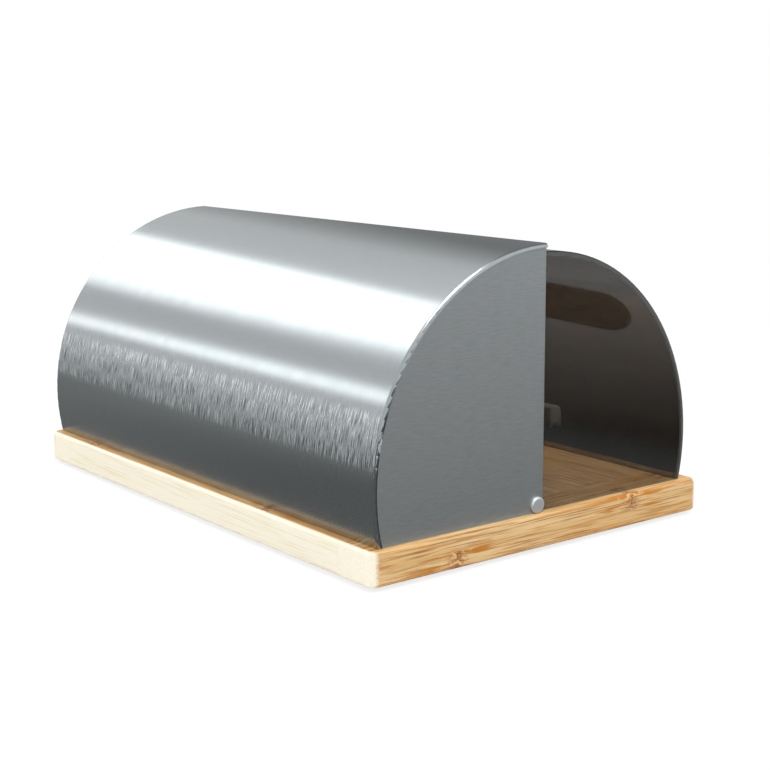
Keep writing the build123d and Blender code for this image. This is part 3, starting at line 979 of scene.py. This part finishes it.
    def room_cards(self) -> Iterator[str]:
        """Makes the upright cards and the softbox face that the steel and the lid mirror.

        Yields:
            A line for the log for each card.
        """
        yield self.card("front card", Shown.IN_GLOSS,
                        upright_corners(self.front_left, self.front_right, self.front_y, self.front_top),
                        Ramp(start=(1.65, self.front_y, 0.9), end=(3.15, self.front_y, 1.2),
                             levels=(0.275, 0.82)))
        yield self.card("end card", Shown.IN_GLOSS,
                        upright_corners(self.end_left, self.front_left, self.front_y, self.front_top),
                        self.end_level)
        yield self.card("rear card", Shown.IN_GLOSS,
                        upright_corners(self.rear_left, self.rear_right, self.rear_y, self.rear_top),
                        Ramp(start=(0, self.rear_y, 0), end=(0, self.rear_y, self.rear_top),
                             levels=(0.84, 0.81)))
        face = [(self.face_left, self.face_front_left, self.face_height),
                (self.face_right, self.face_front_right, self.face_height),
                (self.face_right, self.face_rear, self.face_height),
                (self.face_left, self.face_rear, self.face_height)]
        yield self.card("softbox face", Shown.IN_GLOSS, face, self.face_level)

    def lid_cards(self) -> Iterator[str]:
        """Makes the cards that show through the lid.

        Yields:
            A line for the log for each card.
        """
        half, lift = self.table_half, self.card_lift
        yield self.card("lid flag", Shown.THROUGH_LID,
                        level_corners(-half, half, -half, BOARD_FRONT, lift),
                        Ramp(start=(0, -0.25, 0), end=(0, -1.05, 0), levels=(0.04, 0.11)))
        front = BOARD_FRONT - self.strip_width
        yield self.card("lid glow", Shown.THROUGH_LID,
                        level_corners(-half, half, front, BOARD_FRONT, 2 * lift),
                        Ramp(start=(0, BOARD_FRONT, 0), end=(0, front, 0), levels=(0.25, 0.04)))

    def softbox(self, name: str, centre: Point, aim: Point, size: tuple[float, float], radiance: float,
                in_gloss: bool = True) -> str:
        """Makes a rectangular soft lamp.

        Args:
            name: The lamp's name.
            centre: The middle of the lamp.
            aim: The point that it faces.
            size: Its length along X, as far as its aim allows, and its width.
            radiance: How bright its face is, where 1 is white.
            in_gloss: Whether its face shows in reflections.

        Returns:
            A line for the log.
        """
        lamp = bpy.data.lights.new(name, "AREA")
        lamp.shape = "RECTANGLE"
        lamp.size, lamp.size_y = size
        lamp.energy = radiance * math.pi * size[0] * size[1]
        piece = bpy.data.objects.new(name, lamp)
        ahead = (Vector(aim) - Vector(centre)).normalized()
        side = (ALONG_BOX - ahead * ahead.x).normalized()
        up = ahead.cross(side)
        turn = piece.matrix_world.to_3x3()
        turn.col[0], turn.col[1], turn.col[2] = side, -up, -ahead
        piece.matrix_world = turn.to_4x4()
        piece.location = centre
        piece.visible_camera = False
        piece.visible_glossy = in_gloss
        bpy.context.scene.collection.objects.link(piece)
        return f"studio: {name}"

    def lamps(self) -> Iterator[str]:
        """Makes the lamps.

        Yields:
            A line for the log for each lamp.
        """
        yield self.softbox("top softbox", centre=(1.15, 0.325, 0.90), aim=(1.15, 0.325, 0.0),
                           size=(1.7, 0.51), radiance=3.0, in_gloss=False)
        yield self.softbox("strip lamp", centre=(1.20, 0.745, 0.465), aim=(1.20, 0.0, 0.05),
                           size=(1.8, 0.09), radiance=2.1)
        yield self.softbox("rear key", centre=(-0.35, 1.30, 0.55), aim=(0.0, 0.1, 0.05),
                           size=(0.9, 0.6), radiance=3.6, in_gloss=False)
        yield self.softbox("end fill", centre=(-0.5, 0.2, 1.25), aim=(-0.22, 0.1, 0.0),
                           size=(0.7, 0.7), radiance=5.8)
        yield self.softbox("front lamp", centre=(-0.4, -1.05, 1.1), aim=(0.0, -0.05, 0.05),
                           size=(0.9, 0.6), radiance=7.0, in_gloss=False)

    def camera(self) -> str:
        """Sets the camera where the photograph was taken from.

        Returns:
            A line for the log.
        """
        lens = bpy.data.cameras.new("camera")
        lens.sensor_width = self.sensor_mm
        lens.lens = self.focal_px / self.photo_px * self.sensor_mm
        lens.shift_y = self.camera_shift
        piece = bpy.data.objects.new("camera", lens)
        heading, dip = math.radians(self.camera_heading_deg), math.radians(self.camera_dip_deg)
        ahead = Vector((math.cos(heading) * math.cos(dip), math.sin(heading) * math.cos(dip), -math.sin(dip)))
        piece.location = self.camera_place
        piece.rotation_mode = "QUATERNION"
        piece.rotation_quaternion = ahead.to_track_quat("-Z", "Y")
        bpy.context.scene.collection.objects.link(piece)
        bpy.context.scene.camera = piece
        return "studio: camera"

    def build(self) -> Iterator[str]:
        """Builds the studio.

        Yields:
            A line for the log for each piece.
        """
        bpy.context.scene.view_settings.view_transform = "Standard"
        yield self.world()
        yield self.floor()
        yield from self.table_cards()
        yield from self.room_cards()
        yield from self.lid_cards()
        yield from self.lamps()
        yield self.camera()


def main() -> None:
    """Builds each sub-assembly in turn and reports its pieces."""
    logging.basicConfig(level=logging.INFO, format="%(name)s: %(message)s")
    for assembly in (Board(), SteelBody(), LidGuides(), Lid(), Studio()):
        for line in assembly.build():
            LOG.info(line)


if __name__ == "__main__":
    main()
